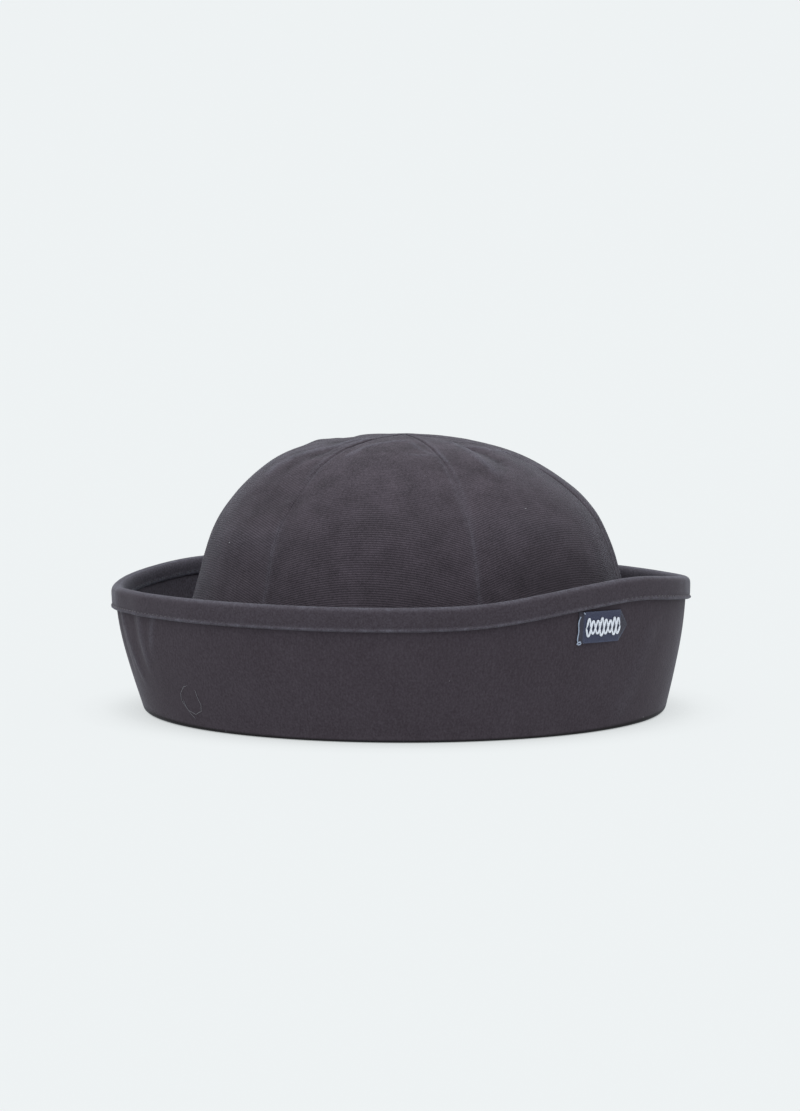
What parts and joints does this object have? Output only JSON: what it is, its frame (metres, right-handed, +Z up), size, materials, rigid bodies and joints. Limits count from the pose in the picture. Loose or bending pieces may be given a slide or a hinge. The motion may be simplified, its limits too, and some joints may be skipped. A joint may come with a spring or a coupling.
{
  "type": "sailor cap",
  "caption": "Soft cotton sailor cap: domed crown of sewn gores inside a tall turned-up brim with a bound rim and a small woven label.",
  "frame": {"origin": "centre of the cap's footprint on the surface that it rests on", "axes": "+Z up through the crown, -Y towards the front, +X towards the side that has the label"},
  "size_m": [0.2176, 0.2186, 0.1026],
  "materials": {
    "crown_cotton": "matte rib-weave cotton, black with a violet cast",
    "brim_cotton": "matte brushed cotton",
    "binding_cotton": "matte brushed cotton on the bias",
    "label_weave": "navy ribbon with a pale woven motif"
  },
  "bodies": {
    "root": {"crown_gore_1": "crown_cotton", "crown_gore_2": "crown_cotton", "crown_gore_3": "crown_cotton", "crown_gore_4": "crown_cotton", "crown_gore_5": "crown_cotton", "crown_gore_6": "crown_cotton", "brim": "brim_cotton", "brim_binding": "binding_cotton", "label": "label_weave"}
  },
  "joints": []
}
